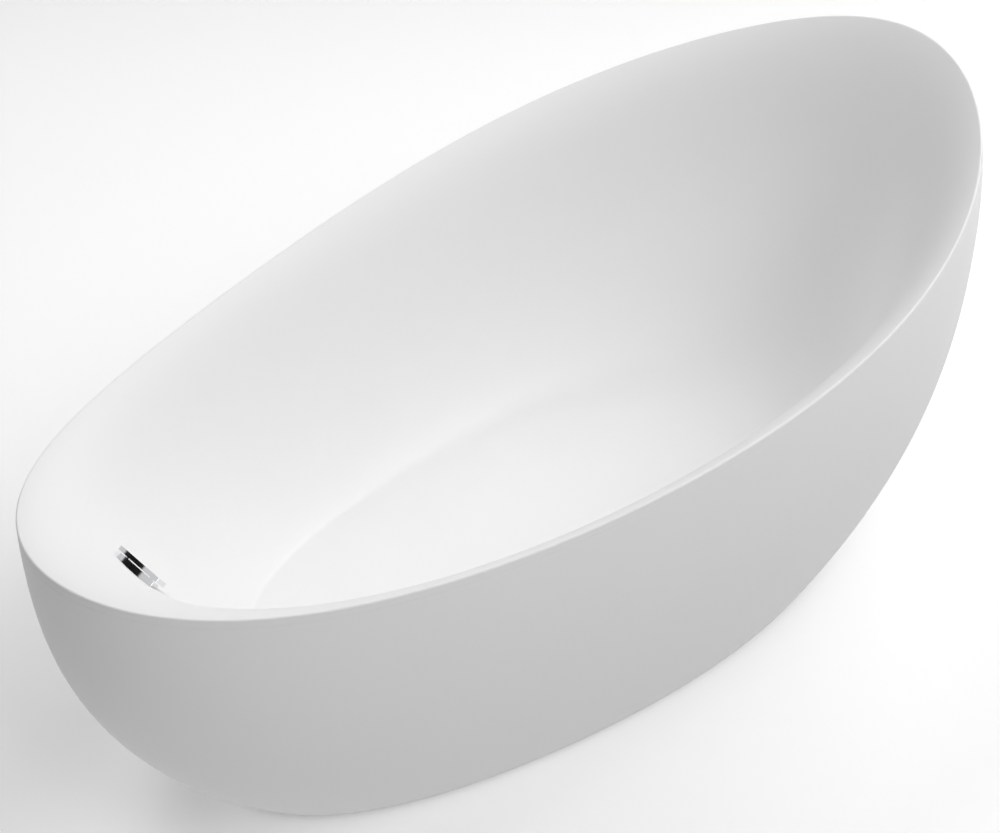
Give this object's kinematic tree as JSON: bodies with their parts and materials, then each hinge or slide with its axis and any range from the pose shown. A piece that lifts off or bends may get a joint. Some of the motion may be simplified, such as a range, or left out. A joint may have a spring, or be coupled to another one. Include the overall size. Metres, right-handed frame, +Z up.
{
  "type": "freestanding bathtub",
  "caption": "Egg-shaped freestanding bathtub with one high backrest end, slot overflow, push-open waste plug, trap and a levelling frame under the outer shell.",
  "frame": {"origin": "on the ground, below the middle of the bath's length and width", "axes": "+X towards the high backrest end, +Y across the bath, +Z up"},
  "size_m": [1.8998, 0.949, 0.7982],
  "materials": {
    "basin_white": "satin",
    "shell_white": "satin",
    "adhesive": "matte",
    "trim_grey": "matte",
    "board": "matte",
    "zinc_steel": "satin",
    "screw_steel": "satin",
    "chrome": "polished",
    "seal_rubber": "matte",
    "brass": "satin",
    "spring_steel": "polished",
    "hose_grey": "satin",
    "pad_rubber": "matte",
    "pipe_plastic": "satin"
  },
  "bodies": {
    "bath": {"bath_basin": "basin_white", "outer_shell": "shell_white", "rim_adhesive": "adhesive", "base_trim": "trim_grey", "floor_board": "board", "frame_rail_left": "zinc_steel", "frame_rail_right": "zinc_steel", "cross_bar_foot": "zinc_steel", "cross_bar_middle": "zinc_steel", "cross_bar_head": "zinc_steel", "rail_screws": "screw_steel", "thread_inserts": "zinc_steel", "lock_nuts": "screw_steel", "shell_brackets": "zinc_steel", "bracket_screws": "screw_steel", "waste_flange": "chrome", "flange_seal": "seal_rubber", "body_seal": "seal_rubber", "waste_body": "pipe_plastic", "plug_cartridge": "brass", "plug_spring": "spring_steel", "trap_seal": "seal_rubber", "trap_nut": "pipe_plastic", "trap_cup": "pipe_plastic", "outlet_seal": "seal_rubber", "outlet_nut": "pipe_plastic", "outlet_elbow": "pipe_plastic", "overflow_cover": "chrome", "overflow_body": "chrome", "overflow_seal": "seal_rubber", "overflow_housing": "pipe_plastic", "overflow_screws": "screw_steel", "overflow_hose": "hose_grey", "hose_nut_top": "pipe_plastic", "hose_nut_bottom": "pipe_plastic"},
    "plug": {"plug_cap": "chrome", "plug_seal": "seal_rubber", "plug_stem": "brass"},
    "foot_1": {"foot_stem_1": "zinc_steel", "foot_pad_1": "pad_rubber"},
    "foot_2": {"foot_stem_2": "zinc_steel", "foot_pad_2": "pad_rubber"},
    "foot_3": {"foot_stem_3": "zinc_steel", "foot_pad_3": "pad_rubber"},
    "foot_4": {"foot_stem_4": "zinc_steel", "foot_pad_4": "pad_rubber"},
    "foot_5": {"foot_stem_5": "zinc_steel", "foot_pad_5": "pad_rubber"},
    "foot_6": {"foot_stem_6": "zinc_steel", "foot_pad_6": "pad_rubber"}
  },
  "joints": [
    {"name": "plug_lift", "type": "slide", "parent": "bath", "child": "plug", "axis": [0, 0, 1], "range_m": [0, 0.01], "deforming": ["plug_spring"]},
    {"name": "level_foot_1", "type": "slide", "parent": "bath", "child": "foot_1", "axis": [0, 0, 1], "range_m": [-0.012, 0.012]},
    {"name": "level_foot_2", "type": "slide", "parent": "bath", "child": "foot_2", "axis": [0, 0, 1], "range_m": [-0.012, 0.012]},
    {"name": "level_foot_3", "type": "slide", "parent": "bath", "child": "foot_3", "axis": [0, 0, 1], "range_m": [-0.012, 0.012]},
    {"name": "level_foot_4", "type": "slide", "parent": "bath", "child": "foot_4", "axis": [0, 0, 1], "range_m": [-0.012, 0.012]},
    {"name": "level_foot_5", "type": "slide", "parent": "bath", "child": "foot_5", "axis": [0, 0, 1], "range_m": [-0.012, 0.012]},
    {"name": "level_foot_6", "type": "slide", "parent": "bath", "child": "foot_6", "axis": [0, 0, 1], "range_m": [-0.012, 0.012]}
  ]
}
